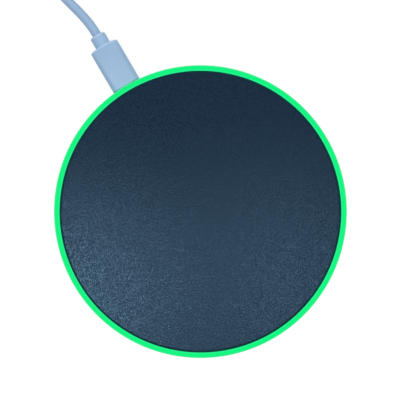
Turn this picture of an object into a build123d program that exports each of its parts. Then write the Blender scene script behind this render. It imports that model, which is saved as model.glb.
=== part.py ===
from build123d import *
import math
import os

# Round wireless charging pad with a glowing ring and a plug-in USB-C cable, in millimetres.
# The origin is the centre of the pad on the table, +Z is up. Most pieces are modelled with the
# charging port facing +X, and save() turns them to the port's real heading.

# ---- case, ring and charging surface ----
pad_diameter = 100.0
port_heading = 120.4        # degrees from +X, counterclockwise seen from above
foot_height = 0.8           # how far the feet stand out of the case
case_floor = 1.2
case_wall = 1.6
case_wall_height = 6.2
case_bottom_round = 1.4
case_rim_round = 0.2
rim_width = 0.25            # pale rim of the case that shows outside the ring
ring_width = 1.75           # glowing top face
ring_rise = 1.3             # height of that face above the ledge that carries the top plate
ring_round = 0.5
ring_ledge = 0.7
ring_ledge_width = 1.8
ring_skirt_depth = 1.4
ring_skirt_wall = 1.2
ring_gap = 0.2              # groove between the ring and the disc, and skirt to case
plate_thickness = 1.2
skin_thickness = 0.5
skin_round = 0.2
skin_gap = 0.05             # from the skin's edge to the lip round it
lip_width = 0.4             # dark lip of the top plate that shows round the skin
lip_drop = 0.1              # lip below the skin's face

# ---- feet and case screws ----
foot_count = 4
foot_radius = 4.4
foot_pocket = 0.5
foot_clearance = 0.1
boss_radius = 3.0
boss_height = 3.0
boss_gap = 1.4              # from a boss to the light board outside it
screw_radius = 0.95
screw_head_radius = 1.8
screw_head_height = 0.9
screw_clearance = 0.1
screw_bite = 2.4            # length of screw in the top plate's boss

# ---- transmitter coil stack, centred under the plate ----
tape_thickness = 0.15
wire_diameter = 0.9
wire_gap = 0.45
winding_turns = 10
winding_eye = 10.5          # radius of the innermost turn
ferrite_thickness = 1.0
ferrite_margin = 1.0
lead_clearance = 0.05
lead_bend = 0.6
lead_lane = 4.3             # distance of the inner lead's slot from the line to the port
lead_pad_offset = 10.0      # solder pads on the main board, either side of that line
lead_pad_inset = 2.5
foam_thickness = 1.2
foam_radius = 22.0
platform_wall = 1.4
thermistor_radius = 1.2

# ---- circuit boards ----
board_standoff = 0.3
board_thickness = 0.8
board_width = 34.0
board_length = 20.4         # from its straight inner edge to its round outer edge
board_clearance = 0.5       # from there to the case wall
light_board_thickness = 0.6
light_board_width = 4.0
light_board_gap = 15.0      # opening of the C-shaped board at the port
light_gap = 0.6             # from the lights to the ring's skirt
light_size = (1.0, 2.8, 1.0)
light_spacing = 15.0        # degrees
rib_spacing = 30.0          # degrees
rib_width = 1.2

# ---- packages on the main board: length, width, height, and places from its inner edge ----
controller_size = (5.0, 5.0, 0.9)
controller_place = (8.5, 0.0)
transistor_size = (3.3, 3.3, 0.9)
transistor_column = 10.5
transistor_rows = (9.0, 13.5)   # on both sides of the line to the port
capacitor_size = (1.6, 3.2, 1.6)
capacitor_column = 6.5
capacitor_rows = (9.5, 13.5)
inductor_size = (4.0, 4.0, 2.0)
inductor_place = (3.0, -13.0)
passive_size = (1.0, 0.5, 0.4)
passive_column = 5.0
passive_pitch = 1.8
passive_count = 4
passive_row = 4.0
header_size = (2.0, 5.0)
header_inset = 3.5          # from the end of the light board to the middle of the header

# ---- USB-C socket and plug ----
plug_width = 8.25
plug_thickness = 2.4
plug_wall = 0.3
plug_reach = 6.65           # metal shell in front of the grip
plug_embed = 3.0            # metal shell inside the grip
plug_clearance = 0.08
socket_wall = 0.3
socket_length = 7.3
socket_recess = 0.8         # socket mouth inside the case's outer radius
socket_hole_clearance = 0.15
tongue_width = 6.69
tongue_thickness = 0.7
tongue_length = 5.0
tongue_base = 1.0
tongue_clearance = 0.09
grip_gap = 0.1              # from the case to the face of the grip
grip_width = 10.2
grip_thickness = 6.2
grip_length = 15.75
grip_corner = 2.0
grip_edge_round = 0.5
grip_dome = 24.0            # radius of the slightly domed far end
boot_diameter = 5.45
boot_length = 4.1
boot_embed = 1.0

# ---- cord ----
cord_diameter = 3.2
cord_lift = 0.35            # the coil lies on its tie, this far above the table
coil_gap = 0.45             # between neighbouring turns
coil_inner_radius = 13.6
coil_layer_turns = 3.5      # turns wound inwards on the lower layer
coil_last_turns = 3.75      # turns wound outwards on the upper layer
coil_center = (-33.8, 110.4)
tie_width = 6.0
tie_thickness = 0.3
tie_clearance = 0.45
tie_heading = -20.0         # degrees, where the tie goes round the coil

# ---- USB-A plug on the cord's far end ----
usb_a_width = 12.0
usb_a_thickness = 4.5
usb_a_wall = 0.3
usb_a_reach = 11.8
usb_a_embed = 3.0
usb_a_grip_width = 15.6
usb_a_grip_thickness = 7.6
usb_a_grip_length = 19.0
usb_a_grip_corner = 2.4
usb_a_tongue_thickness = 1.9
usb_a_tongue_setback = 0.6
usb_a_contact_size = (7.5, 1.0, 0.2)
usb_a_contact_pitch = 2.3
usb_a_window = 2.2          # square latch windows in the metal shell
usb_a_window_spacing = 6.0

# ---- levels and radii worked out from the sizes above ----
pad_radius = pad_diameter / 2
case_inner_radius = pad_radius - case_wall
floor_z = foot_height + case_floor
rim_z = foot_height + case_wall_height
plate_z = rim_z + ring_ledge
skin_z = plate_z + plate_thickness
pad_height = skin_z + skin_thickness
ring_z = plate_z + ring_rise
ring_radius = pad_radius - rim_width
ring_inner_radius = ring_radius - ring_width
disc_radius = ring_inner_radius - ring_gap
skin_radius = disc_radius - lip_width - skin_gap
skirt_radius = case_inner_radius - ring_gap
skirt_inner_radius = skirt_radius - ring_skirt_wall
boss_z = floor_z + boss_height

wire_z = plate_z - tape_thickness - wire_diameter / 2
ferrite_z = wire_z - wire_diameter / 2 - ferrite_thickness
foam_z = ferrite_z - foam_thickness
winding_pitch = wire_diameter + wire_gap
winding_radius = winding_eye + winding_turns * winding_pitch
ferrite_radius = winding_radius + wire_diameter / 2 + ferrite_margin

board_inner_edge = case_inner_radius - board_clearance - board_length
board_z = floor_z + board_standoff
board_top = board_z + board_thickness
socket_inner_width = plug_width + 2 * plug_clearance
socket_inner_height = plug_thickness + 2 * plug_clearance
socket_width = socket_inner_width + 2 * socket_wall
socket_height = socket_inner_height + 2 * socket_wall
port_z = board_top + socket_height / 2
socket_mouth = pad_radius - socket_recess
socket_back = socket_mouth - socket_length
light_top = rim_z - ring_ledge / 2
light_board_top = light_top - light_size[2]
light_board_z = light_board_top - light_board_thickness
light_board_radius = skirt_inner_radius - light_gap
light_board_inner = light_board_radius - light_board_width
foot_circle = light_board_inner - boss_gap - boss_radius

grip_start = pad_radius + grip_gap
grip_end = grip_start + grip_length
plug_tip = grip_start - plug_reach
boot_end = grip_end + boot_length
cord_radius = cord_diameter / 2
coil_pitch = cord_diameter + coil_gap
coil_z = cord_radius + cord_lift
coil_outer_radius = coil_inner_radius + coil_layer_turns * coil_pitch
coil_end_radius = coil_inner_radius + coil_last_turns * coil_pitch
usb_a_z = usb_a_grip_thickness / 2


def at_heading(distance, heading, z=0.0):
    """Point at a distance from the origin in a compass-like heading counted from +X."""
    angle = math.radians(heading)
    return (distance * math.cos(angle), distance * math.sin(angle), z)


# The cord's free stretch runs from the boot to the coil, and the tail from the coil to the USB-A
# plug. The points in between are places on the table where the cord happens to lie.
coil_start = (coil_center[0] - coil_outer_radius, coil_center[1] - cord_diameter, coil_z)
cord_route = [
    at_heading(boot_end, port_heading, port_z),
    at_heading(boot_end + 4.0, port_heading, port_z),
    (-42.1, 69.0, 4.2),
    (-50.2, 77.0, 2.8),
    (-56.8, 88.5, 2.1),
    (coil_start[0], coil_start[1] - 7.7, coil_z),
    coil_start,
]
tail_start = (coil_center[0] + cord_diameter, coil_center[1] + coil_end_radius, coil_z + coil_pitch)
tail_route = [
    tail_start,
    (tail_start[0] + 5.0, tail_start[1], tail_start[2]),
    (-19.2, 136.4, 4.5),
    (-12.8, 133.8, usb_a_z),
    (-7.2, 131.0, usb_a_z),
]
tail_heading = math.degrees(math.atan2(tail_route[-1][1] - tail_route[-2][1],
                                       tail_route[-1][0] - tail_route[-2][0]))


# ---- helpers ----
def disc(radius, z0, z1):
    """Upright cylinder between two heights."""
    return Pos(0, 0, z0) * Cylinder(radius, z1 - z0, align=(Align.CENTER, Align.CENTER, Align.MIN))


def block(x0, x1, width, z0, z1, y=0.0):
    """Box between two distances along X, centred on y."""
    center = Pos((x0 + x1) / 2, y, (z0 + z1) / 2)
    return center * Box(x1 - x0, width, z1 - z0)


def bar(outline, x0, x1, z):
    """Outline drawn in the YZ plane, extruded along X from x0 to x1 at height z."""
    plane = Plane(origin=(x0, 0, z), x_dir=(0, 1, 0), z_dir=(1, 0, 0))
    return extrude(plane * outline, x1 - x0)


def stadium(width, height):
    return SlotOverall(width, height)


def around(piece, count, start=0.0):
    """Copies of a piece turned evenly about the pad's axis."""
    return [Rot(0, 0, start + 360.0 * i / count) * piece for i in range(count)]


def tube(path, diameter):
    """Round tube along a path of lines and arcs, with a check of its volume."""
    wire = Wire(path.edges()) if not isinstance(path, Wire) else path
    section = Plane(origin=wire @ 0, z_dir=wire % 0) * Circle(diameter / 2)
    solid = sweep(section, path=wire).solid()
    ideal = math.pi * diameter ** 2 / 4 * wire.length
    print(f"tube {diameter:.1f} mm: length {wire.length:.1f}, volume / ideal {solid.volume / ideal:.4f}")
    return solid


def cord_tube(points, diameter, label):
    """Tube whose corners take arcs as large as their two runs allow."""
    spots = [Vector(*p) for p in points]
    radii = []
    for before, corner, after in zip(spots, spots[1:], spots[2:]):
        run = min((corner - before).length, (after - corner).length)
        turn = math.radians((corner - before).get_angle(after - corner))
        radii.append(0.45 * run / math.tan(turn / 2))
    print(f"{label} bend radii:", [round(r, 1) for r in radii])
    return tube(FilletPolyline(*spots, radius=radii), diameter)


def biarc(p0, t0, p1, t1):
    """Two arcs from p0 to p1 that leave along t0, arrive along t1 and join smoothly."""
    span, both = p1 - p0, t0 + t1
    spread = 2 * (1 - t0.dot(t1))
    along = span.dot(both)
    reach = (-along + math.sqrt(along ** 2 + spread * span.dot(span))) / spread
    first, last = p0 + t0 * reach, p1 - t1 * reach
    middle = (first + last) * 0.5
    heading = (last - first).normalized()
    return [Edge.make_tangent_arc(p0, t0, middle), Edge.make_tangent_arc(middle, heading, p1)]


def spiral_tube(center, z, inner, pitch, turns_in, turns_out, lift, diameter, label):
    """Clockwise winding from the -X side: inwards, then outwards on a layer that is lift higher.

    It climbs in the half turn where it reverses. Both ends run straight for one tube diameter.
    """
    step = 0.25
    count = round((turns_in + turns_out) / step)

    def spot(t):
        angle = math.pi - 2 * math.pi * t
        radius = inner + pitch * abs(t - turns_in)
        climb = min(max(2 * (t - turns_in) + 0.5, 0.0), 1.0) if turns_out else 0.0
        return Vector(center[0] + radius * math.cos(angle), center[1] + radius * math.sin(angle),
                      z + lift * climb)

    def heading(t):
        if t < step / 2 or t > turns_in + turns_out - step / 2:
            angle = math.pi - 2 * math.pi * t
            return Vector(math.sin(angle), -math.cos(angle), 0)
        if abs(abs(t - turns_in) - step) < step / 2:
            flat = spot(t + 0.01) - spot(t - 0.01)
            return Vector(flat.X, flat.Y, 0).normalized()
        return (spot(t + 0.01) - spot(t - 0.01)).normalized()

    edges = []
    for i in range(count):
        edges += biarc(spot(i * step), heading(i * step), spot((i + 1) * step), heading((i + 1) * step))
    first, last = spot(0), spot(count * step)
    run_in, run_out = heading(0) * diameter, heading(count * step) * diameter
    edges.insert(0, Edge.make_line(first - run_in, first))
    edges.append(Edge.make_line(last, last + run_out))
    print(f"{label} least gap to itself: {least_gap(edges, diameter):.2f} mm")
    return tube(Wire(edges), diameter)


def least_gap(edges, diameter):
    """Smallest clear distance between turns, measured on points along the centre line."""
    points, travelled, length = [], [], 0.0
    for edge in edges:
        samples = max(2, round(edge.length / diameter * 2))
        for i in range(samples):
            points.append(edge @ (i / samples))
            travelled.append(length + edge.length * i / samples)
        length += edge.length
    least = math.inf
    for i, here in enumerate(points):
        for j in range(i):
            if travelled[i] - travelled[j] > 3 * diameter:
                least = min(least, (here - points[j]).length)
    return least - diameter


# ---- case ----
def case_shell():
    """Round tray with the port, the coil's platform, board ribs, foot pockets and screw bosses."""
    shell = disc(pad_radius, foot_height, rim_z)
    shell = fillet(shell.edges().group_by(Axis.Z)[0], case_bottom_round)
    shell = fillet(shell.edges().group_by(Axis.Z)[-1], case_rim_round)
    shell -= disc(case_inner_radius, floor_z, rim_z)
    # round platform under the foam, two ring walls
    for radius in (foam_radius, winding_eye):
        shell += disc(radius, floor_z, foam_z) - disc(radius - platform_wall, floor_z, foam_z)
    # ribs that carry the light board, none at the port
    rib = block(light_board_inner, case_inner_radius + case_wall / 2, rib_width, floor_z, light_board_z)
    rib_count = round(360 / rib_spacing)
    for rib_copy in around(rib, rib_count)[1:]:
        shell += rib_copy
    # rails under the main board
    for x in (board_inner_edge + rib_width, socket_back):
        shell += block(x, x + rib_width, board_width - 4 * rib_width, floor_z, board_z)
    pocket = disc(foot_radius + foot_clearance, foot_height, foot_height + foot_pocket)
    head_room = disc(screw_head_radius + screw_clearance, foot_height, screw_seat_z())
    hole = disc(screw_radius + screw_clearance, foot_height, boss_z)
    for turn in foot_turns():
        place = Rot(0, 0, turn) * Pos(foot_circle, 0, 0)
        shell += place * disc(boss_radius, floor_z, boss_z)
        shell -= place * (pocket + head_room + hole)
    shell -= bar(port_outline(socket_hole_clearance), socket_back, pad_radius + case_wall, port_z)
    return shell


def foot_turns():
    return [45.0 + 360.0 * i / foot_count for i in range(foot_count)]


def screw_seat_z():
    """Height of the face inside each boss that the screw's head pulls against."""
    return foot_height + foot_pocket + screw_clearance + screw_head_height


def port_outline(clearance):
    return stadium(socket_width + 2 * clearance, socket_height + 2 * clearance)


def feet():
    foot = disc(foot_radius, 0, foot_height + foot_pocket)
    foot = chamfer(foot.edges().group_by(Axis.Z)[0], foot_pocket / 2)
    return [Rot(0, 0, turn) * Pos(foot_circle, 0, 0) * foot for turn in foot_turns()]


def case_screws():
    seat = screw_seat_z()
    screw = disc(screw_head_radius, seat - screw_head_height, seat)
    screw += disc(screw_radius, seat, boss_z + screw_bite)
    slot = block(-screw_radius, screw_radius, screw_radius / 2, seat - screw_head_height,
                 seat - screw_head_height / 2)
    screw -= slot + Rot(0, 0, 90) * slot
    return [Rot(0, 0, turn) * Pos(foot_circle, 0, 0) * screw for turn in foot_turns()]


def light_ring():
    """Translucent ring: glowing rim, a ledge for the top plate and a skirt that takes the light in."""
    ledge_radius = ring_inner_radius - ring_ledge_width
    with BuildPart() as ring:
        with BuildSketch(Plane.XZ):
            with BuildLine():
                Polyline((ring_inner_radius, ring_z), (ring_inner_radius, plate_z), (ledge_radius, plate_z),
                         (ledge_radius, rim_z), (skirt_inner_radius, rim_z),
                         (skirt_inner_radius, rim_z - ring_skirt_depth),
                         (skirt_radius, rim_z - ring_skirt_depth), (skirt_radius, rim_z),
                         (ring_radius, rim_z), (ring_radius, ring_z - ring_round))
                ThreePointArc((ring_radius, ring_z - ring_round),
                              (ring_radius - ring_round * (1 - math.sqrt(0.5)),
                               ring_z - ring_round * (1 - math.sqrt(0.5))),
                              (ring_radius - ring_round, ring_z))
                Line((ring_radius - ring_round, ring_z), (ring_inner_radius, ring_z))
            make_face()
        revolve(axis=Axis.Z)
    notch_width = socket_width + 4 * socket_hole_clearance
    notch = block(light_board_inner, case_inner_radius, notch_width, rim_z - ring_skirt_depth, rim_z)
    return ring.part - notch


def top_plate():
    """Plate with a raised lip round the skin and four bosses for the case screws."""
    plate = disc(disc_radius, plate_z, pad_height - lip_drop)
    plate -= disc(disc_radius - lip_width, skin_z, pad_height)
    pilot = disc(screw_radius + screw_clearance / 2, boss_z, boss_z + screw_bite + screw_clearance)
    for turn in foot_turns():
        place = Rot(0, 0, turn) * Pos(foot_circle, 0, 0)
        plate += place * disc(boss_radius, boss_z, plate_z)
        plate -= place * pilot
    return plate


def top_skin():
    skin = disc(skin_radius, skin_z, pad_height)
    return fillet(skin.edges().group_by(Axis.Z)[-1], skin_round)


# ---- coil stack ----
def winding_end(radius, side):
    """Centre of the winding's end face at a radius, one wire diameter to the side of the +X axis."""
    return Vector(radius, side * wire_diameter, wire_z)


def charging_coil():
    """Flat winding whose outer end comes in at +X; the clockwise spiral ends in the eye."""
    winding = spiral_tube((0, 0), wire_z, winding_eye, winding_pitch, winding_turns, 0, 0.0,
                          wire_diameter, "charging coil")
    return Rot(0, 0, 180) * winding


def coil_leads():
    """Two insulated leads: one to the winding's outer end, one from the eye through the slot."""
    lane_z = ferrite_z + ferrite_thickness - lead_clearance - wire_diameter / 2
    pad_x = board_inner_edge + lead_pad_inset
    outer = [winding_end(winding_radius, 1), Vector(winding_radius, lead_lane / 2, wire_z),
             Vector(pad_x, lead_pad_offset, wire_z), Vector(pad_x, lead_pad_offset, board_top)]
    eye = winding_end(winding_eye, -1)
    inner = [eye, eye + Vector(-lead_clearance, -wire_diameter, 0),
             Vector(winding_eye - lead_bend, 1.2 * wire_diameter - lead_lane, lane_z),
             Vector(winding_eye + wire_diameter, -lead_lane, lane_z),
             Vector(ferrite_radius + ferrite_margin, -lead_lane, lane_z),
             Vector(pad_x, -lead_pad_offset, lane_z), Vector(pad_x, -lead_pad_offset, board_top)]
    return [tube(FilletPolyline(*route, radius=lead_bend), wire_diameter) for route in (outer, inner)]


def ferrite_sheet():
    """Round sheet with a slot from its edge to the winding's eye for the inner lead."""
    sheet = disc(ferrite_radius, ferrite_z, ferrite_z + ferrite_thickness)
    near = 1.5 * wire_diameter
    far = lead_lane + wire_diameter / 2 + lead_clearance
    slot = block(winding_eye - 2 * wire_diameter, ferrite_radius + ferrite_margin, far - near,
                 ferrite_z, ferrite_z + ferrite_thickness, y=-(near + far) / 2)
    return sheet - slot


def foam_pad():
    return disc(foam_radius, foam_z, ferrite_z)


def coil_tape():
    ring = disc(winding_radius + wire_diameter / 2, plate_z - tape_thickness, plate_z)
    return ring - disc(winding_eye - wire_diameter / 2, plate_z - tape_thickness, plate_z)


def thermistor():
    return disc(thermistor_radius, ferrite_z + ferrite_thickness, plate_z)


# ---- circuit boards ----
def main_board():
    board = block(board_inner_edge, pad_radius, board_width, board_z, board_top)
    board &= disc(case_inner_radius - board_clearance, board_z, board_top)
    return board


def chip(size, inset, y):
    """Package that stands on the main board, its middle at an inset from the board's inner edge."""
    length, width, height = size
    x = board_inner_edge + inset
    return block(x - length / 2, x + length / 2, width, board_top, board_top + height, y=y)


def controller_chip():
    return chip(controller_size, *controller_place)


def bridge_transistors():
    return [chip(transistor_size, transistor_column, side * y) for y in transistor_rows for side in (-1, 1)]


def resonance_capacitors():
    return [chip(capacitor_size, capacitor_column, side * y) for y in capacitor_rows for side in (-1, 1)]


def power_inductor():
    return chip(inductor_size, *inductor_place)


def small_components():
    return [chip(passive_size, passive_column + passive_pitch * i, side * passive_row)
            for i in range(passive_count) for side in (-1, 1)]


def light_board():
    ring = disc(light_board_radius, light_board_z, light_board_top)
    ring -= disc(light_board_inner, light_board_z, light_board_top)
    return ring - block(0, pad_radius, light_board_gap, light_board_z, light_board_top)


def lights():
    depth, width, height = light_size
    light = block(light_board_radius - depth, light_board_radius, width, light_board_top, light_top)
    count = round(360 / light_spacing)
    turned = around(light, count, start=light_spacing / 2)
    return [copy for copy in turned if not port_side(copy)]


def port_side(piece):
    center = piece.center()
    return center.X > 0 and abs(center.Y) < light_board_gap / 2 + light_size[1] / 2


def board_header():
    """Pin strip that joins the light board to the main board."""
    length, width = header_size
    x = light_board_inner + light_board_width / 2
    y = light_board_gap / 2 + header_inset
    return block(x - length / 2, x + length / 2, width, board_top, light_board_z, y=y)


# ---- USB-C socket and plug ----
def socket_shell():
    outer = bar(stadium(socket_width, socket_height), socket_back, socket_mouth, port_z)
    return outer - bar(stadium(socket_inner_width, socket_inner_height), socket_back, socket_mouth, port_z)


def socket_tongue():
    base = bar(stadium(socket_inner_width, socket_inner_height), socket_back, socket_back + tongue_base, port_z)
    tip = socket_back + tongue_base + tongue_length
    tongue = bar(Rectangle(tongue_width, tongue_thickness), socket_back + tongue_base, tip, port_z)
    tongue = chamfer(tongue.edges().group_by(Axis.X)[-1], tongue_thickness / 5)
    return base + tongue


def plug_shell():
    outer = bar(stadium(plug_width, plug_thickness), plug_tip, grip_start + plug_embed, port_z)
    outer = fillet(outer.edges().group_by(Axis.X)[0], plug_wall / 3)
    inner = stadium(plug_width - 2 * plug_wall, plug_thickness - 2 * plug_wall)
    return outer - bar(inner, plug_tip, grip_start + plug_embed, port_z)


def plug_insert():
    """Contact block in the shell, with the slot that takes the socket's tongue."""
    outline = stadium(plug_width - 2 * plug_wall, plug_thickness - 2 * plug_wall)
    insert = bar(outline, plug_tip + plug_wall, grip_start + plug_embed, port_z)
    slot_end = socket_back + tongue_base + tongue_length + plug_wall
    slot = Rectangle(tongue_width + 2 * tongue_clearance, tongue_thickness + 2 * tongue_clearance)
    return insert - bar(slot, plug_tip, slot_end, port_z)


def plug_overmould():
    outline = RectangleRounded(grip_width, grip_thickness, grip_corner)
    grip = bar(outline, grip_start, grip_end + grip_thickness, port_z)
    grip = fillet(grip.edges().group_by(Axis.X)[0], grip_edge_round / 2)
    grip &= Pos(grip_end - grip_dome, 0, port_z) * Sphere(grip_dome)
    grip = fillet(grip.edges().group_by(Axis.X)[-1], grip_edge_round)
    grip -= bar(stadium(plug_width, plug_thickness), grip_start, grip_start + plug_embed, port_z)
    return grip - bar(Circle(boot_diameter / 2), grip_end - boot_embed, grip_end + boot_embed, port_z)


def plug_boot():
    boot = bar(Circle(boot_diameter / 2), grip_end - boot_embed, boot_end, port_z)
    return fillet(boot.edges().group_by(Axis.X)[-1], grip_edge_round)


# ---- cord, its coil and tie ----
def cord_coil():
    return spiral_tube(coil_center, coil_z, coil_inner_radius, coil_pitch, coil_layer_turns,
                       coil_last_turns, coil_pitch, cord_diameter, "cord coil")


def cord_tie():
    """Flat strap round the band of turns; the coil lies on its lower run."""
    inner_edge = coil_inner_radius - cord_radius - tie_clearance
    outer_edge = coil_end_radius + cord_radius + tie_clearance
    height = cord_lift + cord_diameter + coil_pitch + cord_lift - tie_thickness
    band = block(inner_edge - tie_thickness, outer_edge + tie_thickness, tie_width, 0, height + tie_thickness)
    band = fillet(band.edges().filter_by(Axis.Y), cord_radius / 2)
    room = block(inner_edge, outer_edge, tie_width, tie_thickness, height)
    room = fillet(room.edges().filter_by(Axis.Y), cord_radius / 2 - tie_thickness)
    return Pos(*coil_center, 0) * Rot(0, 0, tie_heading) * (band - room)


# ---- USB-A plug, modelled along +X from the end of the tail ----
def usb_a_place(piece):
    return Pos(*tail_route[-1]) * Rot(0, 0, tail_heading) * piece


def usb_a_boot():
    boot = bar(Circle(boot_diameter / 2), 0, boot_length + boot_embed, 0)
    return usb_a_place(fillet(boot.edges().group_by(Axis.X)[0], grip_edge_round))


def usb_a_overmould():
    end = boot_length + usb_a_grip_length
    outline = RectangleRounded(usb_a_grip_width, usb_a_grip_thickness, usb_a_grip_corner)
    grip = bar(outline, boot_length, end, 0)
    grip = fillet(grip.edges().group_by(Axis.X)[0], 2 * grip_edge_round)
    grip = fillet(grip.edges().group_by(Axis.X)[-1], grip_edge_round / 2)
    grip -= bar(Circle(boot_diameter / 2), boot_length, boot_length + boot_embed, 0)
    return usb_a_place(grip - bar(Rectangle(usb_a_width, usb_a_thickness), end - usb_a_embed, end, 0))


def usb_a_span():
    """Where the metal shell starts inside the grip, and where it ends."""
    end = boot_length + usb_a_grip_length
    return end - usb_a_embed, end + usb_a_reach


def usb_a_shell():
    start, end = usb_a_span()
    shell = bar(Rectangle(usb_a_width, usb_a_thickness), start, end, 0)
    inner = Rectangle(usb_a_width - 2 * usb_a_wall, usb_a_thickness - 2 * usb_a_wall)
    shell -= bar(inner, start, end, 0)
    middle = end - usb_a_reach / 2
    for side in (-1, 1):
        shell -= block(middle - usb_a_window / 2, middle + usb_a_window / 2, usb_a_window,
                       -usb_a_thickness, usb_a_thickness, y=side * usb_a_window_spacing / 2)
    return usb_a_place(shell)


def usb_a_tongue():
    start, end = usb_a_span()
    width = usb_a_width - 2 * usb_a_wall
    top = usb_a_thickness / 2 - usb_a_wall
    block_end = start + usb_a_embed
    tongue = block(start, block_end, width, -top, top)
    return usb_a_place(tongue + block(block_end, end - usb_a_tongue_setback, width,
                                      top - usb_a_tongue_thickness, top))


def usb_a_contacts():
    length, width, height = usb_a_contact_size
    _, end = usb_a_span()
    face = usb_a_thickness / 2 - usb_a_wall - usb_a_tongue_thickness
    tip = end - 3 * usb_a_tongue_setback
    strip = block(tip - length, tip, width, face - height, face)
    return [usb_a_place(Pos(0, usb_a_contact_pitch * i, 0) * strip) for i in (-1.5, -0.5, 0.5, 1.5)]


# ---- writing the nodes ----
def save(name, piece, turned=True):
    solids = piece if isinstance(piece, list) else [piece]
    if turned:
        solids = [Rot(0, 0, port_heading) * s for s in solids]
    shapes = [solid for s in solids for solid in s.solids()]
    export_step(shapes[0] if len(shapes) == 1 else Compound(children=shapes), f"parts/{name}.step")


os.makedirs("parts", exist_ok=True)

pad_pieces = [case_shell, feet, case_screws, light_ring, top_plate, top_skin, coil_tape, charging_coil,
              coil_leads, ferrite_sheet, foam_pad, thermistor, main_board, controller_chip,
              bridge_transistors, resonance_capacitors, power_inductor, small_components, board_header,
              light_board, lights, socket_shell, socket_tongue,
              plug_shell, plug_insert, plug_overmould, plug_boot]
for make in pad_pieces:
    save(make.__name__, make())

save("cord", cord_tube(cord_route, cord_diameter, "cord"), turned=False)
save("cord_tail", cord_tube(tail_route, cord_diameter, "cord tail"), turned=False)
for make in [cord_coil, cord_tie, usb_a_boot, usb_a_overmould, usb_a_shell, usb_a_tongue, usb_a_contacts]:
    save(make.__name__, make(), turned=False)

print(f"pad {pad_diameter:.1f} x {pad_height:.2f} mm, port centre {port_z:.2f} mm above the table")
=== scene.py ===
# %% [markdown]
# # A wireless charging pad, dressed for its picture
# The pad is a flat round case with a glowing ring round a soft leather-look disc, and a USB-C
# cable plugs into its side. The solid pieces were built and packed first, at real size, and come
# in here as a fixed frame. This lesson lays the cord, models the soft and moulded pieces in fine
# detail, and gives every piece a finish made from nodes. Blender counts in metres, so sizes are
# written in millimetres and multiplied by MM.

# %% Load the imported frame
import math
import bmesh
import bpy
from mathutils import Matrix, Vector


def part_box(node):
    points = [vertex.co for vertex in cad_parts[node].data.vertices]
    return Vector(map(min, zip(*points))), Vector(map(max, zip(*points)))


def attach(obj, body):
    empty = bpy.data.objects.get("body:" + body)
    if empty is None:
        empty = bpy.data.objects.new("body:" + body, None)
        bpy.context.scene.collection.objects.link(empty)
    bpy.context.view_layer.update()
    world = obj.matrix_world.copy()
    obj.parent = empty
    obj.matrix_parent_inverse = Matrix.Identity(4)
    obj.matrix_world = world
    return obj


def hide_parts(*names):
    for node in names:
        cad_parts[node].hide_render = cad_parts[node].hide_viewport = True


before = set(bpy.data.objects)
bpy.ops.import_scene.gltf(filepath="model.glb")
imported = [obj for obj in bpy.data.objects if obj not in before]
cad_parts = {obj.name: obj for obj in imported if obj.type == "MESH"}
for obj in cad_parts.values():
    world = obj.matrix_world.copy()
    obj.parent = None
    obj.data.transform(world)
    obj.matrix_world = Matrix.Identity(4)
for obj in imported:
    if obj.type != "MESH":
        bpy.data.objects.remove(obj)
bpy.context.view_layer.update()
MM = 0.001
bpy.ops.object.select_all(action="DESELECT")
print("nodes in the frame:", len(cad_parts))

# %% [markdown]
# ## The camera
# A camera straight above the pad sees it as a clean circle. A long lens from 40 cm keeps the
# sides of the case out of sight. It could also be an orthographic camera, but a real lens gives
# the small change of viewing angle across the disc that makes its sheen shift from edge to edge.

# %% Camera above the pad
LENS = 103.7
CAMERA_PLACE = (-0.15, 3.95, 400.0)
camera_data = bpy.data.cameras.new("overhead_camera")
camera_data.sensor_width = 36.0
camera_data.lens = LENS
camera = bpy.data.objects.new("overhead_camera", camera_data)
camera.location = [v * MM for v in CAMERA_PLACE]
bpy.context.scene.collection.objects.link(camera)
bpy.context.scene.camera = camera
bpy.context.scene.view_settings.view_transform = "Standard"
print("camera height:", camera.location.z, "m")

# %% [markdown]
# ## The cord
# The cord is one metre of 3.2 mm cable. It leaves the plug's boot, sinks to the table, runs a
# little way, and then lies wound in a neat coil of two layers, with the USB-A plug on its far end.
# A bevelled curve is the right tool: one smooth spline holds the whole length, and the bevel gives
# it its thickness. The spline is a NURBS of order 3, which stays close to its points without
# touching them. In a coil, each point therefore stands a little outside the turn it makes.

# %% Points along the cord, in millimetres
CORD_DIAMETER = 3.2
PORT_HEADING = math.radians(120.4)
PORT_Z = 4.68
BOOT_END = 69.95
COIL_CENTER = (-33.8, 110.4)
COIL_LIFT = 0.35            # from the table to the lowest turns
COIL_Z = 1.95
COIL_INNER_RADIUS = 13.6
COIL_PITCH = 3.65
TURNS_IN = 3.5
TURNS_OUT = 3.75
POINTS_PER_TURN = 16


def along_port(distance, z=PORT_Z):
    """Point on the line that leaves the pad through its port."""
    return (distance * math.cos(PORT_HEADING), distance * math.sin(PORT_HEADING), z)


def coil_point(turn):
    """Point of the coil after so many turns, wound inwards below and outwards on top."""
    angle = math.pi - 2 * math.pi * turn
    radius = COIL_INNER_RADIUS + COIL_PITCH * abs(turn - TURNS_IN)
    reach = radius / math.cos(math.pi / POINTS_PER_TURN)
    climb = min(max(2 * (turn - TURNS_IN) + 0.5, 0.0), 1.0)
    return (COIL_CENTER[0] + reach * math.cos(angle), COIL_CENTER[1] + reach * math.sin(angle),
            COIL_Z + COIL_PITCH * climb)


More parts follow.
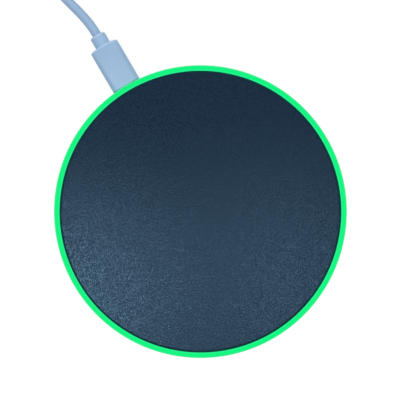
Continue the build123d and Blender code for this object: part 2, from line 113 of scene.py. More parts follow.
free_run = [along_port(BOOT_END), along_port(BOOT_END + 4.0), (-42.1, 69.0, 4.2), (-50.2, 77.0, 2.8),
            (-56.8, 88.5, 2.1), (-60.175, 99.5, COIL_Z), (-60.175, 107.2, COIL_Z)]
coil_run = [coil_point((i + 0.5) / POINTS_PER_TURN)
            for i in range(round((TURNS_IN + TURNS_OUT) * POINTS_PER_TURN))]
tail_run = [(-30.6, 137.6875, 5.6), (-25.6, 137.6875, 5.6), (-19.2, 136.4, 4.5), (-12.8, 133.8, 3.8),
            (-7.2, 131.0, 3.8)]
print("points on the cord:", len(free_run + coil_run + tail_run))

# %% The cord as a bevelled NURBS curve
cord_curve = bpy.data.curves.new("cord_jacket", "CURVE")
cord_curve.dimensions = "3D"
cord_line = cord_curve.splines.new("NURBS")
cord_points = free_run + coil_run + tail_run
cord_line.points.add(len(cord_points) - 1)
for spot, (x, y, z) in zip(cord_line.points, cord_points):
    spot.co = (x * MM, y * MM, z * MM, 1.0)
    spot.radius = CORD_DIAMETER / 2 * MM
cord_line.order_u = 3
cord_line.use_endpoint_u = True
cord_line.resolution_u = 6
cord_curve.bevel_depth = 1.0     # times each point's radius
cord_curve.bevel_resolution = 5
cord_curve.use_fill_caps = True
cord = bpy.data.objects.new("cord_jacket", cord_curve)
bpy.context.scene.collection.objects.link(cord)
print("cord length on the spline:", round(cord_line.calc_length() / MM, 1), "mm")
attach(cord, "cable")
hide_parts("cord", "cord_coil", "cord_tail")

# %% [markdown]
# ## Tools for modelling
# Each new piece starts as a primitive at its real size and place. It is then shaped in edit mode,
# as by hand. Operators work on whatever is selected, so two small helpers clear the selection and
# pick faces, edges or corners by where they are. A last one closes each piece up: it points the faces
# outwards, and measures the volume, because a negative one would show that they point inwards.

# %% Small helpers for modelling
def start(adder, **settings):
    """Clear the selection, add a primitive and return it."""
    bpy.ops.object.select_all(action="DESELECT")
    adder(**settings)
    return bpy.context.object


def pick(piece, kind, wanted):
    """In edit mode, select the faces, edges or corners whose place passes the test."""
    bpy.ops.object.mode_set(mode="EDIT")
    bpy.ops.mesh.select_mode(type=kind)
    bpy.ops.mesh.select_all(action="DESELECT")
    bpy.ops.object.mode_set(mode="OBJECT")
    mesh = piece.data
    if kind == "FACE":
        for face in mesh.polygons:
            face.select = wanted(face.center, face.normal)
    if kind == "EDGE":
        for edge in mesh.edges:
            ends = [mesh.vertices[i].co for i in edge.vertices]
            edge.select = wanted(ends[0], ends[1])
    if kind == "VERT":
        for corner in mesh.vertices:
            corner.select = wanted(corner.co)
    bpy.ops.object.mode_set(mode="EDIT")


def volume(piece):
    """Cubic millimetres inside a closed piece; below zero when its faces point inwards."""
    shape = bmesh.new()
    shape.from_mesh(piece.data)
    size = shape.calc_volume(signed=True) / MM ** 3
    shape.free()
    return size


def close_up(piece, name, body, smooth_angle=35.0):
    """Leave edit mode, settle the piece at the origin, smooth it, and let it ride on its body."""
    bpy.ops.mesh.select_all(action="SELECT")
    bpy.ops.mesh.remove_doubles(threshold=0.000001)
    bpy.ops.mesh.normals_make_consistent(inside=False)
    bpy.ops.object.mode_set(mode="OBJECT")
    if volume(piece) < 0:    # the operator above can leave a whole piece inside out
        bpy.ops.object.mode_set(mode="EDIT")
        bpy.ops.mesh.flip_normals()
        bpy.ops.object.mode_set(mode="OBJECT")
    bpy.ops.object.transform_apply(location=True, rotation=True, scale=True)
    bpy.ops.object.shade_smooth_by_angle(angle=math.radians(smooth_angle))
    piece.name = name
    piece.data.name = name
    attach(piece, body)
    print(name, "faces:", len(piece.data.polygons), "volume:", round(volume(piece), 1), "mm3")


print("helpers ready")

# %% [markdown]
# ## The leather disc
# The charging surface is a thin disc of soft leather-look skin, glued inside a narrow dark lip. Its
# face is flat, because a phone lies on it, and its cut edge is rolled down a little. A cylinder
# with its top edge bevelled and its outermost band sunk by two hundredths of a millimetre catches
# the light as the real edge does. The pebbled grain is too fine to model and comes with the finish.

# %% Leather disc
skin_low, skin_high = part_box("top_skin")
SKIN_RADIUS = skin_high[0] / MM
SKIN_Z = (skin_low[2] / MM, skin_high[2] / MM)
print("disc radius", round(SKIN_RADIUS, 3), "mm, from", round(SKIN_Z[0], 2), "to", round(SKIN_Z[1], 2), "mm")
skin = start(bpy.ops.mesh.primitive_cylinder_add, vertices=256, radius=SKIN_RADIUS * MM,
             depth=(SKIN_Z[1] - SKIN_Z[0]) * MM, location=(0, 0, sum(SKIN_Z) / 2 * MM))
bpy.ops.object.transform_apply(location=True, rotation=True, scale=True)
pick(skin, "FACE", lambda center, normal: normal.z > 0.9)
bpy.ops.mesh.inset(thickness=0.2 * MM, depth=0.0)
bpy.ops.mesh.inset(thickness=0.3 * MM, depth=0.0)
rim_radius = (SKIN_RADIUS - 0.1) * MM
pick(skin, "VERT", lambda co: co.z > (SKIN_Z[1] - 0.1) * MM and co.xy.length > rim_radius)
bpy.ops.transform.translate(value=(0, 0, -0.02 * MM))
pick(skin, "EDGE", lambda a, b: min(a.z, b.z) > (SKIN_Z[1] - 0.2) * MM
     and min(a.xy.length, b.xy.length) > rim_radius)
bpy.ops.mesh.bevel(offset=0.12 * MM, segments=4, affect="EDGES")
close_up(skin, "charging_skin", "pad")
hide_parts("top_skin")

# %% [markdown]
# ## Plug grips
# Both grips are solid blocks of satin plastic, moulded over the metal plugs. Each is a box whose
# long edges are rounded and whose cord end is slightly domed. The dome could come from a boolean
# with a ball, but that leaves a ragged mesh. Here the box is cut into narrow columns, each column's
# end is pushed back by what the ball would take off, and then the rim is bevelled.

# %% One function for both grips
def moulded_grip(start_x, end_x, width, thickness, corner, dome, rim, root):
    """Box along +X, rounded along its length and domed at its end_x face."""
    grip = start(bpy.ops.mesh.primitive_cube_add, size=1.0, location=((start_x + end_x) / 2 * MM, 0, 0),
                 scale=((end_x - start_x) * MM, width * MM, thickness * MM))
    bpy.ops.object.transform_apply(location=True, rotation=True, scale=True)
    pick(grip, "EDGE", lambda a, b: abs(a.x - b.x) > 5 * MM)
    bpy.ops.mesh.bevel(offset=corner * MM, segments=12, affect="EDGES")
    columns = 8
    way = 1.0 if end_x > start_x else -1.0
    flat = width - 2 * corner
    for i in range(1, columns):
        bpy.ops.mesh.select_all(action="SELECT")
        bpy.ops.mesh.bisect(plane_co=(0, (i / columns - 0.5) * flat * MM, 0), plane_no=(0, 1, 0))
    bpy.ops.object.mode_set(mode="OBJECT")
    distances = sorted({round(abs(v.co.y) / MM, 3) for v in grip.data.vertices})
    for y in distances:
        pick(grip, "VERT", lambda co: abs(co.x - end_x * MM) < 0.6 * MM
             and abs(abs(co.y) / MM - y) < 0.0006)
        bpy.ops.transform.translate(value=(-way * y ** 2 / (2 * dome) * MM, 0, 0))
    middle = (start_x + end_x) / 2 * MM
    pick(grip, "EDGE", lambda a, b: (a.x - middle) * way > 5 * MM and (b.x - middle) * way > 5 * MM
         and on_outline(a, width, thickness, corner) and on_outline(b, width, thickness, corner))
    bpy.ops.mesh.bevel(offset=rim * MM, segments=5, affect="EDGES")
    pick(grip, "EDGE", lambda a, b: (a.x - middle) * way < -5 * MM and (b.x - middle) * way < -5 * MM
         and on_outline(a, width, thickness, corner) and on_outline(b, width, thickness, corner))
    bpy.ops.mesh.bevel(offset=root * MM, segments=3, affect="EDGES")
    return grip


def on_outline(co, width, thickness, corner):
    """True on the rounded rectangle that the grip's section follows."""
    out_y = max(abs(co.y) / MM - (width / 2 - corner), 0.0)
    out_z = max(abs(co.z) / MM - (thickness / 2 - corner), 0.0)
    if out_y == 0.0:
        return abs(abs(co.z) / MM - thickness / 2) < 0.01
    return abs(math.hypot(out_y, out_z) - corner) < 0.02


print("grip builder ready")

# %% Grip of the USB-C plug
GRIP_START, GRIP_END, GRIP_DOME = 50.03, 65.85, 24.0
to_port = Matrix.Translation((0, 0, PORT_Z * MM)) @ Matrix.Rotation(PORT_HEADING, 4, "Z")
grip = moulded_grip(GRIP_START, GRIP_END, width=10.2, thickness=6.2, corner=1.8, dome=GRIP_DOME,
                    rim=0.5, root=0.12)
grip.matrix_world = to_port
close_up(grip, "plug_grip", "cable")
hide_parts("plug_overmould")

# %% [markdown]
# ## Boots
# A short collar guards the cord where it leaves each grip. It is a cylinder with a rounded rim and
# a shallow hollow in its end, where the cord goes in. Inset and a second inset with some depth make
# the hollow in two steps.

# %% Boot builder and the boot of the USB-C plug
BOOT_DIAMETER = 5.45


def boot(start_x, end_x):
    """Round collar along X whose free end is at end_x."""
    collar = start(bpy.ops.mesh.primitive_cylinder_add, vertices=48, radius=BOOT_DIAMETER / 2 * MM,
                   depth=abs(end_x - start_x) * MM, location=((start_x + end_x) / 2 * MM, 0, 0),
                   rotation=(0, math.pi / 2, 0))
    bpy.ops.object.transform_apply(location=True, rotation=True, scale=True)
    pick(collar, "EDGE", lambda a, b: max(abs(a.x - end_x * MM), abs(b.x - end_x * MM)) < 0.01 * MM)
    bpy.ops.mesh.bevel(offset=0.4 * MM, segments=4, affect="EDGES")
    way = 1.0 if end_x > start_x else -1.0
    pick(collar, "FACE", lambda center, normal: normal.x * way > 0.99)
    bpy.ops.mesh.inset(thickness=0.12 * MM, depth=0.0)
    bpy.ops.mesh.inset(thickness=0.08 * MM, depth=-0.25 * MM)
    return collar


plug_collar = boot(GRIP_END - 1.0, BOOT_END)
plug_collar.matrix_world = to_port
close_up(plug_collar, "plug_collar", "cable")
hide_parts("plug_boot")

# %% The far end: grip and boot of the USB-A plug
FAR_GRIP_END, FAR_GRIP_DOME = 4.1, 60.0
FAR_END = tail_run[-1]
FAR_HEADING = math.atan2(FAR_END[1] - tail_run[-2][1], FAR_END[0] - tail_run[-2][0])
to_far_plug = (Matrix.Translation([v * MM for v in FAR_END]) @ Matrix.Rotation(FAR_HEADING, 4, "Z"))
far_grip = moulded_grip(FAR_GRIP_END + 19.0, FAR_GRIP_END, width=15.6, thickness=7.6, corner=2.4,
                        dome=FAR_GRIP_DOME, rim=0.9, root=0.25)
far_grip.matrix_world = to_far_plug
close_up(far_grip, "far_plug_grip", "cable")
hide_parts("usb_a_overmould")
far_collar = boot(FAR_GRIP_END + 1.0, 0.0)
far_collar.matrix_world = to_far_plug
close_up(far_collar, "far_plug_collar", "cable")
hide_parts("usb_a_boot")

# %% [markdown]
# ## The tie
# A flat woven strap goes round the coil's turns and sticks to itself on top. It is drawn snug: the
# radii at which the cord passes under it give the length of its loop. The loop is a box
# whose four long edges are rounded and whose two open sides are taken away, and a solidify modifier
# gives it the strap's thickness. The overlapping tongue on top is a second thin box with a rounded
# tip.

# %% Woven tie round the coil
TIE_WIDTH, TIE_THICKNESS, TIE_GAP = 6.0, 0.3, 0.45
TIE_HEADING = math.radians(-20.0)
passes = [0.5 - TIE_HEADING / (2 * math.pi) + i for i in range(int(TURNS_IN + TURNS_OUT))]
radii = [COIL_INNER_RADIUS + COIL_PITCH * abs(turn - TURNS_IN) for turn in passes]
tie_in = min(radii) - CORD_DIAMETER / 2 - TIE_GAP - TIE_THICKNESS
tie_out = max(radii) + CORD_DIAMETER / 2 + TIE_GAP + TIE_THICKNESS
print("strands under the tie:", len(passes), " loop from", round(tie_in, 1), "to", round(tie_out, 1), "mm")
tie_top = COIL_LIFT + CORD_DIAMETER + COIL_PITCH + COIL_LIFT
tie = start(bpy.ops.mesh.primitive_cube_add, size=1.0,
            location=((tie_in + tie_out) / 2 * MM, 0, tie_top / 2 * MM),
            scale=((tie_out - tie_in) * MM, TIE_WIDTH * MM, tie_top * MM))
bpy.ops.object.transform_apply(location=True, rotation=True, scale=True)
pick(tie, "EDGE", lambda a, b: abs(a.y - b.y) > 5 * MM)
bpy.ops.mesh.bevel(offset=CORD_DIAMETER / 4 * MM, segments=6, affect="EDGES")
pick(tie, "FACE", lambda center, normal: abs(normal.y) > 0.9)
bpy.ops.mesh.delete(type="FACE")
bpy.ops.object.mode_set(mode="OBJECT")
wall = tie.modifiers.new("wall", "SOLIDIFY")
wall.thickness = TIE_THICKNESS * MM
wall.offset = -1.0
bpy.ops.object.modifier_apply(modifier=wall.name)
bpy.ops.object.mode_set(mode="EDIT")
bpy.ops.mesh.select_all(action="DESELECT")
bpy.ops.mesh.primitive_cube_add(size=1.0, location=((tie_in + 8.5) * MM, 0, (tie_top + 0.14) * MM),
                                scale=(9.0 * MM, (TIE_WIDTH - 0.1) * MM, 0.26 * MM))
bpy.ops.object.mode_set(mode="OBJECT")
pick(tie, "EDGE", lambda a, b: min(a.z, b.z) < (tie_top + 0.05) * MM < max(a.z, b.z) and
     a.x > (tie_in + 12.0) * MM and abs(a.x - b.x) < 0.1 * MM and abs(a.y - b.y) < 0.1 * MM)
bpy.ops.mesh.bevel(offset=2.2 * MM, segments=8, affect="EDGES")
bpy.ops.object.mode_set(mode="OBJECT")
tie.matrix_world = (Matrix.Translation((COIL_CENTER[0] * MM, COIL_CENTER[1] * MM, 0))
                    @ Matrix.Rotation(TIE_HEADING, 4, "Z"))
bpy.ops.object.mode_set(mode="EDIT")
close_up(tie, "coil_tie", "cable")
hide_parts("cord_tie")

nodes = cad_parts

# %% [markdown]
# ## Finishes
# Every finish is built from nodes on the same shader. A few helpers keep the cells short: one makes
# the material, one adds a noise pattern in real millimetres, and the others let a pattern change
# the colour, the roughness or the height of the surface. All patterns read Object coordinates,
# which are the real coordinates here, so one grain size holds on every piece.

# %% Small helpers for finishes
def new_finish(name, color, roughness, metallic=0.0, specular=0.5):
    """Material with constants on its shader; returns it with its node tree and shader."""
    finish = bpy.data.materials.new(name)
    finish.use_nodes = True
    shader = finish.node_tree.nodes["Principled BSDF"]
    shader.inputs["Base Color"].default_value = (*color, 1.0)
    shader.inputs["Roughness"].default_value = roughness
    shader.inputs["Metallic"].default_value = metallic
    shader.inputs["Specular IOR Level"].default_value = specular
    return finish, finish.node_tree, shader


def coordinates(tree, long=(1.0, 1.0, 1.0), turn=0.0, foot=(0.0, 0.0)):
    """Millimetres from foot along a piece's own directions; a pattern grows by long along each."""
    place = tree.nodes.new("ShaderNodeTexCoord")
    mapping = tree.nodes.new("ShaderNodeMapping")
    mapping.vector_type = "TEXTURE"
    mapping.inputs["Location"].default_value = (foot[0] * MM, foot[1] * MM, 0.0)
    mapping.inputs["Rotation"].default_value = (0.0, 0.0, turn)
    mapping.inputs["Scale"].default_value = [factor * MM for factor in long]
    tree.links.new(place.outputs["Object"], mapping.inputs["Vector"])
    return mapping.outputs["Vector"]


def noise(tree, size, detail=2.0, long=(1.0, 1.0, 1.0), turn=0.0):
    """Soft noise whose blobs are about size millimetres across."""
    texture = tree.nodes.new("ShaderNodeTexNoise")
    texture.inputs["Scale"].default_value = 1.0 / size
    texture.inputs["Detail"].default_value = detail
    tree.links.new(coordinates(tree, long, turn), texture.inputs["Vector"])
    return texture.outputs["Fac"]


def remap(tree, value, low, high, from_low=0.3, from_high=0.7):
    """Spread the middle of a pattern over a range of values."""
    node = tree.nodes.new("ShaderNodeMapRange")
    node.inputs["From Min"].default_value = from_low
    node.inputs["From Max"].default_value = from_high
    node.inputs["To Min"].default_value = low
    node.inputs["To Max"].default_value = high
    tree.links.new(value, node.inputs["Value"])
    return node.outputs["Result"]


def vary_color(tree, shader, value, dark, light, socket="Base Color"):
    """Colour that moves between two tones with a pattern from 0 to 1."""
    ramp = tree.nodes.new("ShaderNodeValToRGB")
    ramp.color_ramp.elements[0].position = 0.3
    ramp.color_ramp.elements[1].position = 0.7
    ramp.color_ramp.elements[0].color = (*dark, 1.0)
    ramp.color_ramp.elements[1].color = (*light, 1.0)
    tree.links.new(value, ramp.inputs["Fac"])
    tree.links.new(ramp.outputs["Color"], shader.inputs[socket])


def vary_roughness(tree, shader, value, low, high):
    """Roughness that moves between two values with a pattern."""
    tree.links.new(remap(tree, value, low, high), shader.inputs["Roughness"])


def add_bump(tree, shader, value, height, strength=1.0):
    """Raise the surface by up to height millimetres where the pattern is high."""
    bump = tree.nodes.new("ShaderNodeBump")
    bump.inputs["Strength"].default_value = strength
    bump.inputs["Distance"].default_value = height * MM
    tree.links.new(value, bump.inputs["Height"])
    tree.links.new(bump.outputs["Normal"], shader.inputs["Normal"])


def wear(piece, finish):
    """Give a piece its finish in every slot it has."""
    if not piece.data.materials:
        piece.data.materials.append(finish)
    for i in range(len(piece.data.materials)):
        piece.data.materials[i] = finish


print("finish helpers ready")

# %% [markdown]
# ### Leather
# The skin is a dark slate blue with a very fine pebbled grain. Voronoi cells about a third of a
# millimetre across make the pebbles. The colour hardly changes from pebble to pebble, and a bump
# alone would look like wrinkled hide at this scale. What shows is that some pebbles are rubbed
# glossy and others stay dull, so every cell gets its own roughness, and the bump is kept very low.
# The bluish sheen is a tinted reflection, sharp enough to stay near the spots where the disc
# mirrors the lamps.

# %% Leather finish
leather, tree, shader = new_finish("skin_leather", (0.0050, 0.0145, 0.0320), 0.20, specular=0.15)
shader.inputs["Specular Tint"].default_value = (0.38, 0.70, 1.0, 1.0)
cells = tree.nodes.new("ShaderNodeTexVoronoi")
cells.feature = "SMOOTH_F1"
cells.inputs["Scale"].default_value = 1.0 / 0.34
cells.inputs["Smoothness"].default_value = 0.1
tree.links.new(coordinates(tree), cells.inputs["Vector"])
fine = noise(tree, 0.28, detail=1.0)
grain = tree.nodes.new("ShaderNodeMath")
grain.operation = "MULTIPLY_ADD"
grain.inputs[1].default_value = -1.2
tree.links.new(cells.outputs["Distance"], grain.inputs[0])
tree.links.new(fine, grain.inputs[2])
add_bump(tree, shader, grain.outputs["Value"], 0.016, 1.0)
vary_color(tree, shader, noise(tree, 1.6, detail=4.0),
           (0.0045, 0.0137, 0.0310), (0.0056, 0.0162, 0.0350))
rubbed_cells = remap(tree, cells.outputs["Color"], 0.045, 0.345, 0.2, 0.8)
tree.links.new(rubbed_cells, shader.inputs["Roughness"])
wear(skin, leather)
print("leather finish on", skin.name)

# %% [markdown]
# ### Glowing ring
# The ring is a clear plastic light guide, lit green from inside by the row of lights below it. A
# glowing surface is simplest as an emission on a dark body, so that the lamps of the scene don't
# wash it out. The distance from the pad's middle picks the tone of the glow. At the inner edge it is
# a shade paler, which is a painted highlight where that edge catches the light. Towards the outer
# edge the green turns darker, and the outermost sliver is a pale mint that stands for the pale rim
# of the case beside it.

# %% Ring finish
def from_middle(tree):
    """Distance from the pad's upright axis, in metres."""
    place = tree.nodes.new("ShaderNodeTexCoord")
    flatten = tree.nodes.new("ShaderNodeVectorMath")
    flatten.operation = "MULTIPLY"
    flatten.inputs[1].default_value = (1.0, 1.0, 0.0)
    reach = tree.nodes.new("ShaderNodeVectorMath")
    reach.operation = "LENGTH"
    tree.links.new(place.outputs["Object"], flatten.inputs[0])
    tree.links.new(flatten.outputs["Vector"], reach.inputs[0])
    return reach.outputs["Value"]


RING_INNER, RING_OUTER = 48.0, 49.75
glow, tree, shader = new_finish("ring_glow", (0.001, 0.01, 0.003), 0.55, specular=0.03)
across = remap(tree, from_middle(tree), 0.0, 1.0, RING_INNER * MM, RING_OUTER * MM)
tones = tree.nodes.new("ShaderNodeValToRGB")
# the paler inner tone is a painted highlight on the ring's inner edge
tones.color_ramp.elements[0].color = (0.024, 0.88, 0.29, 1.0)
tones.color_ramp.elements[1].color = (0.25, 0.86, 0.50, 1.0)
for spot, tone in ((0.22, (0.001, 0.91, 0.208)), (0.65, (0.001, 0.91, 0.208)),
                   (0.90, (0.032, 0.80, 0.28))):
    tones.color_ramp.elements.new(spot).color = (*tone, 1.0)
tree.links.new(across, tones.inputs["Fac"])
tree.links.new(tones.outputs["Color"], shader.inputs["Emission Color"])
shader.inputs["Emission Strength"].default_value = 1.0
add_bump(tree, shader, noise(tree, 0.5), 0.01, 0.3)
wear(nodes["light_ring"], glow)
print("glow finish on light_ring")

# %% [markdown]
# ### Plastics and rubber
# The case is milky white plastic, the plate and its lip are black, the grips and the cord are a pale
# blue-grey, and the feet are dark rubber. Spark-eroded moulds leave a very fine texture, so each one
# has a fine bump, a slow drift of tone and a roughness that is never quite even. The ring's green
# light also seeps into the plastic that touches it: down into the milky wall of the case and inwards
# over the black lip. A real light bleed would need the light to scatter inside the plastic, which is
# slow and is lost in an exported model, so here a faint green emission simply grows towards the ring.

# %% Plastics
def plastic(name, dark, light, roughness, grain_size, grain_height, specular=0.5):
    """Moulded plastic: a slow drift of tone, uneven roughness and a fine grain."""
    finish, tree, shader = new_finish(name, light, roughness, specular=specular)
    vary_color(tree, shader, noise(tree, 7.0, detail=4.0), dark, light)
    vary_roughness(tree, shader, noise(tree, 3.0, detail=3.0), roughness - 0.05, roughness + 0.05)
    add_bump(tree, shader, noise(tree, grain_size, detail=3.0), grain_height, 0.5)
    return finish


def height(tree):
    """Height above the table, in metres."""
    place = tree.nodes.new("ShaderNodeTexCoord")
    split = tree.nodes.new("ShaderNodeSeparateXYZ")
    tree.links.new(place.outputs["Object"], split.inputs["Vector"])
    return split.outputs["Z"]


def seep(finish, where, faint, full, color):
    """Let the ring's green light into the plastic beside it, from faint to full millimetres."""
    tree = finish.node_tree
    shader = tree.nodes["Principled BSDF"]
    tones = tree.nodes.new("ShaderNodeValToRGB")
    tones.color_ramp.interpolation = "EASE"
    tones.color_ramp.elements[0].color = (0.0, 0.0, 0.0, 1.0)
    tones.color_ramp.elements[1].color = (*color, 1.0)
    near = remap(tree, where(tree), 0.0, 1.0, faint * MM, full * MM)
    tree.links.new(near, tones.inputs["Fac"])
    tree.links.new(tones.outputs["Color"], shader.inputs["Emission Color"])
    shader.inputs["Emission Strength"].default_value = 1.0


CABLE_DARK, CABLE_LIGHT = (0.282, 0.434, 0.628), (0.303, 0.460, 0.662)
CASE_RIM_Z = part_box("case_shell")[1][2] / MM
case_plastic = plastic("case_plastic", (0.84, 0.86, 0.87), (0.89, 0.90, 0.91), 0.38, 0.30, 0.012)
seep(case_plastic, height, CASE_RIM_Z - 1.2, CASE_RIM_Z, (0.01, 0.42, 0.13))
plate_plastic = plastic("plate_plastic", (0.0012, 0.0035, 0.0035), (0.0018, 0.0050, 0.0050),
                        0.6, 0.25, 0.02, 0.02)
seep(plate_plastic, from_middle, SKIN_RADIUS - 0.5, SKIN_RADIUS + 0.2, (0.0, 0.050, 0.040))
foot_rubber = plastic("foot_rubber", (0.020, 0.021, 0.022), (0.028, 0.029, 0.031), 0.75, 0.20, 0.03, 0.3)
cord_plastic = plastic("cord_jacket", CABLE_DARK, CABLE_LIGHT, 0.48, 0.30, 0.015, 0.35)
chip_plastic = plastic("chip_black", (0.012, 0.012, 0.014), (0.020, 0.020, 0.022), 0.55, 0.12, 0.02)
contact_black = plastic("contact_black", (0.010, 0.010, 0.011), (0.016, 0.016, 0.018), 0.45, 0.15, 0.01)
contact_white = plastic("contact_white", (0.78, 0.79, 0.80), (0.84, 0.85, 0.86), 0.40, 0.20, 0.01)
wear(nodes["case_shell"], case_plastic)
wear(nodes["top_plate"], plate_plastic)
wear(nodes["feet"], foot_rubber)
wear(cord, cord_plastic)
for name in ("controller_chip", "bridge_transistors", "small_components", "board_header"):
    wear(nodes[name], chip_plastic)
for name in ("plug_insert", "socket_tongue"):
    wear(nodes[name], contact_black)
wear(nodes["usb_a_tongue"], contact_white)
print("plastic finishes made")

# %% [markdown]
# ### Plug mouldings
# The grips and boots share one soft plastic, made a little lighter for the boots, which is painted
# light that lifts the shade on their round sides. Along the rim at the end of each piece the colour is
# painted paler still: a painted highlight where that rounded edge catches the light. The finish finds
# the rim by its distance from the end, measured in the plug's own direction, which a Mapping node
# turned to the plug's heading gives. On the domed end of a grip the rim lies on a curve. Painting an
# attribute would work too, but would need more edges near the rim.

# %% Moulded plastic with a painted highlight on its rim
def moulding(name, foot, heading, end, way, dome=1000.0, pale=1.0):
    """Pale blue plastic, with a painted highlight along the rim at one end of the piece."""
    dark = [pale * tone for tone in CABLE_DARK]
    light = [pale * tone for tone in CABLE_LIGHT]
    finish = plastic(name, dark, light, 0.42, 0.22, 0.010, 0.35)
    tree = finish.node_tree
    shader = tree.nodes["Principled BSDF"]
    tone = shader.inputs["Base Color"].links[0].from_socket
    split = tree.nodes.new("ShaderNodeSeparateXYZ")
    tree.links.new(coordinates(tree, turn=heading, foot=foot), split.inputs["Vector"])
    sag = tree.nodes.new("ShaderNodeMath")
    sag.operation = "MULTIPLY"
    tree.links.new(split.outputs["Y"], sag.inputs[0])
    tree.links.new(split.outputs["Y"], sag.inputs[1])
    reach = tree.nodes.new("ShaderNodeMath")
    reach.operation = "MULTIPLY_ADD"
    reach.inputs[1].default_value = way / (2 * dome)
    tree.links.new(sag.outputs["Value"], reach.inputs[0])
    tree.links.new(split.outputs["X"], reach.inputs[2])
    # painted highlight: the last stretch before the end is painted paler
    rim_highlight = remap(tree, reach.outputs["Value"], 0.0, 1.0, end - 0.75 * way, end - 0.45 * way)
    paler = tree.nodes.new("ShaderNodeMix")
    paler.data_type = "RGBA"
    # colour of the painted highlight on the rim
    paler.inputs["B"].default_value = (0.43, 0.60, 0.81, 1.0)
    tree.links.new(rim_highlight, paler.inputs["Factor"])
    tree.links.new(tone, paler.inputs["A"])
    tree.links.new(paler.outputs["Result"], shader.inputs["Base Color"])
    return finish


# The boots wear a lighter copy of the grip plastic: painted light that lifts the shade on their round sides.
BOOT_PAINTED_LIGHT = 1.08
wear(grip, moulding("plug_moulding", (0.0, 0.0), PORT_HEADING, GRIP_END, 1.0, dome=GRIP_DOME))
wear(plug_collar, moulding("plug_boot_moulding", (0.0, 0.0), PORT_HEADING, BOOT_END, 1.0,
                           pale=BOOT_PAINTED_LIGHT))
wear(far_grip, moulding("far_plug_moulding", FAR_END, FAR_HEADING, FAR_GRIP_END, -1.0,
                        dome=FAR_GRIP_DOME))
wear(far_collar, moulding("far_boot_moulding", FAR_END, FAR_HEADING, 0.0, -1.0, pale=BOOT_PAINTED_LIGHT))
print("plug mouldings finished")

# %% [markdown]
# ### Metals
# The plug shells are nickel-plated steel, the contacts are gold-plated and the screws are zinc. A
# noise that is made long along one direction looks like the fine drawing lines that sheet metal
# keeps. It changes the roughness and a very small bump. A Mapping node of the Texture type turns to
# the plug's heading before it stretches, so the lines run along the plug and not along the table.

# %% Metals
def metal(name, color, roughness, long, turn=0.0, line_size=0.25, height=0.004):
    """Plated metal with fine drawing lines along the direction in which they are long."""
    finish, tree, shader = new_finish(name, color, roughness, metallic=1.0)
    lines = noise(tree, line_size, detail=4.0, long=long, turn=turn)
    darker = tuple(0.9 * c for c in color)
    vary_color(tree, shader, noise(tree, 4.0, detail=3.0), darker, color)
    vary_roughness(tree, shader, lines, roughness - 0.07, roughness + 0.08)
    add_bump(tree, shader, lines, height, 0.6)
    return finish


plug_steel = metal("plug_steel", (0.44, 0.45, 0.46), 0.30, (20.0, 1.0, 1.0), PORT_HEADING)
far_steel = metal("usb_a_steel", (0.45, 0.46, 0.47), 0.28, (20.0, 1.0, 1.0), FAR_HEADING)
screw_steel = metal("screw_steel", (0.42, 0.42, 0.43), 0.38, (1.0, 1.0, 10.0))
contact_gold = metal("contact_gold", (0.80, 0.58, 0.22), 0.25, (20.0, 1.0, 1.0), FAR_HEADING)
wear(nodes["plug_shell"], plug_steel)
wear(nodes["socket_shell"], plug_steel)
wear(nodes["usb_a_shell"], far_steel)
wear(nodes["case_screws"], screw_steel)
wear(nodes["usb_a_contacts"], contact_gold)
print("metal finishes made")

# %% [markdown]
# ### Pieces inside the case
# The winding, its ferrite, the foam, the boards and their parts are hidden in use, but they show
# when the pad is opened, so each has a true finish too. They use the same two recipes with other
# tones: enamelled copper, grey ferrite, black foam, green solder mask, white solder mask.

# %% Finishes inside the case
copper = metal("copper_wire", (0.70, 0.30, 0.13), 0.32, (1.0, 1.0, 1.0), line_size=0.8)
sleeve = plastic("lead_sleeve", (0.40, 0.07, 0.03), (0.50, 0.09, 0.035), 0.35, 0.3, 0.01)
tape = plastic("tape_film", (0.50, 0.40, 0.14), (0.60, 0.50, 0.20), 0.25, 1.5, 0.02)
ferrite = plastic("ferrite", (0.030, 0.030, 0.033), (0.050, 0.050, 0.054), 0.70, 0.15, 0.03)
foam = plastic("foam", (0.010, 0.010, 0.012), (0.022, 0.022, 0.024), 0.90, 0.40, 0.15, 0.2)
bead = plastic("epoxy_bead", (0.010, 0.010, 0.014), (0.014, 0.014, 0.018), 0.20, 0.8, 0.02)
laminate = plastic("board_laminate", (0.006, 0.070, 0.030), (0.010, 0.110, 0.048), 0.30, 0.5, 0.01)
white_board = plastic("light_board_white", (0.74, 0.74, 0.71), (0.80, 0.80, 0.77), 0.35, 0.5, 0.01)
tan = plastic("capacitor_tan", (0.30, 0.19, 0.10), (0.38, 0.25, 0.14), 0.60, 0.12, 0.01)
lens = plastic("light_lens", (0.72, 0.68, 0.36), (0.80, 0.76, 0.44), 0.20, 0.4, 0.01)
for name, finish in (("charging_coil", copper), ("coil_leads", sleeve), ("coil_tape", tape),
                     ("ferrite_sheet", ferrite), ("power_inductor", ferrite), ("foam_pad", foam),
                     ("thermistor", bead), ("main_board", laminate), ("light_board", white_board),
                     ("resonance_capacitors", tan), ("lights", lens)):
    wear(nodes[name], finish)
print("inner finishes made")

# %% [markdown]
# ### Woven strap
# The tie is a hook-and-loop strap. Two sets of fine waves, one across the other, give the weave, and
# a soft noise on top stands for the fuzz of the loops.

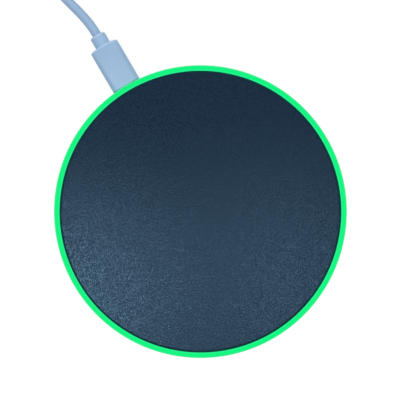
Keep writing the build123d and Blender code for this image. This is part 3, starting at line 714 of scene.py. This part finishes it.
# %% Strap finish
strap, tree, shader = new_finish("tie_strap", (0.60, 0.68, 0.76), 0.85, specular=0.2)
shader.inputs["Sheen Weight"].default_value = 0.3
weave = []
for turn in (TIE_HEADING, TIE_HEADING + math.radians(90.0)):
    wave = tree.nodes.new("ShaderNodeTexWave")
    wave.inputs["Scale"].default_value = 0.9
    wave.inputs["Distortion"].default_value = 0.6
    tree.links.new(coordinates(tree, turn=turn), wave.inputs["Vector"])
    weave.append(wave.outputs["Fac"])
cross = tree.nodes.new("ShaderNodeMath")
cross.operation = "MULTIPLY"
tree.links.new(weave[0], cross.inputs[0])
tree.links.new(weave[1], cross.inputs[1])
add_bump(tree, shader, cross.outputs["Value"], 0.08, 0.8)
vary_color(tree, shader, noise(tree, 0.5, detail=4.0), (0.52, 0.60, 0.68), (0.66, 0.73, 0.80))
wear(tie, strap)
print("strap finish made")

# %% [markdown]
# ## Floor, world and lamps
# The pad lies on a plain white table. The floor is white to the camera through a little light of its
# own, and a diffuse part near the pad keeps its faint shadow. A white table also sends light back up
# on the walls that stand on it, so the floor keeps about a third of its own light for that, which is
# less than a sheet of white paper would send. The world is a soft even light, and three
# round lamps add the direction. Two small ones hang high over the near side, and the leather mirrors
# them as two soft patches of sheen, the brighter one to the left. A broad one behind the pad lights
# the ends of the plug. Together they add up to about the level at which a colour renders as written.

# %% A switch for what the camera sees
def seen_directly(tree):
    """1 for camera, mirror and glass rays, 0 for the rays that carry light."""
    rays = tree.nodes.new("ShaderNodeLightPath")
    value = rays.outputs["Is Camera Ray"]
    for kind in ("Is Glossy Ray", "Is Transmission Ray"):
        either = tree.nodes.new("ShaderNodeMath")
        either.operation = "MAXIMUM"
        tree.links.new(value, either.inputs[0])
        tree.links.new(rays.outputs[kind], either.inputs[1])
        value = either.outputs["Value"]
    return value


print("switch ready")

# %% Floor
TABLE_GLOW, TABLE_BOUNCE, TABLE_MATTE = 0.84, 0.35, 0.20
floor = start(bpy.ops.mesh.primitive_plane_add, size=4.0, location=(0, 0, -0.05 * MM))
bpy.ops.object.transform_apply(location=True, rotation=True, scale=True)
floor.name = "table"
table = bpy.data.materials.new("white_table")
table.use_nodes = True
tree = table.node_tree
tree.nodes.clear()
away = from_middle(tree)
matte = tree.nodes.new("ShaderNodeBsdfDiffuse")
vary_color(tree, matte, remap(tree, away, 0.0, 1.0, 0.15, 0.9), (TABLE_MATTE,) * 3, (0.0,) * 3, "Color")
own_light = tree.nodes.new("ShaderNodeEmission")
strength = tree.nodes.new("ShaderNodeMapRange")
strength.inputs["To Min"].default_value = TABLE_BOUNCE
tree.links.new(remap(tree, away, TABLE_GLOW, 1.0, 0.3, 0.7), strength.inputs["To Max"])
tree.links.new(seen_directly(tree), strength.inputs["Value"])
tree.links.new(strength.outputs["Result"], own_light.inputs["Strength"])
both = tree.nodes.new("ShaderNodeAddShader")
out = tree.nodes.new("ShaderNodeOutputMaterial")
tree.links.new(matte.outputs["BSDF"], both.inputs[0])
tree.links.new(own_light.outputs["Emission"], both.inputs[1])
tree.links.new(both.outputs["Shader"], out.inputs["Surface"])
floor.data.materials.append(table)
print("floor ready")

# %% World
WORLD_LEVEL = 0.45
world = bpy.data.worlds.new("soft_world")
bpy.context.scene.world = world
world.use_nodes = True
tree = world.node_tree
sky = tree.nodes["Background"]
sky.inputs["Color"].default_value = (1.0, 1.0, 1.0, 1.0)
level = tree.nodes.new("ShaderNodeMapRange")
level.inputs["To Min"].default_value = WORLD_LEVEL
level.inputs["To Max"].default_value = 1.0
tree.links.new(seen_directly(tree), level.inputs["Value"])
tree.links.new(level.outputs["Result"], sky.inputs["Strength"])
print("world ready")

# %% Lamps
def soft_lamp(name, place, size, watts):
    """Round lamp that looks at the pad."""
    lamp_data = bpy.data.lights.new(name, "AREA")
    lamp_data.shape = "DISK"
    lamp_data.size = size
    lamp_data.energy = watts
    lamp = bpy.data.objects.new(name, lamp_data)
    lamp.location = place
    lamp.rotation_euler = (-Vector(place)).to_track_quat("-Z", "Y").to_euler()
    bpy.context.scene.collection.objects.link(lamp)
    distance = Vector(place).length
    share = watts * place[2] / distance / (math.pi * distance) ** 2
    print(name, "adds", round(share, 2), "of the plain level")


soft_lamp("left_lamp", (-0.144, -0.095, 0.80), 0.14, 1.7)
soft_lamp("right_lamp", (0.090, -0.083, 0.80), 0.20, 1.0)
soft_lamp("back_lamp", (0.10, 0.64, 0.52), 0.36, 1.5)

# %% Update the scene
bpy.context.view_layer.update()
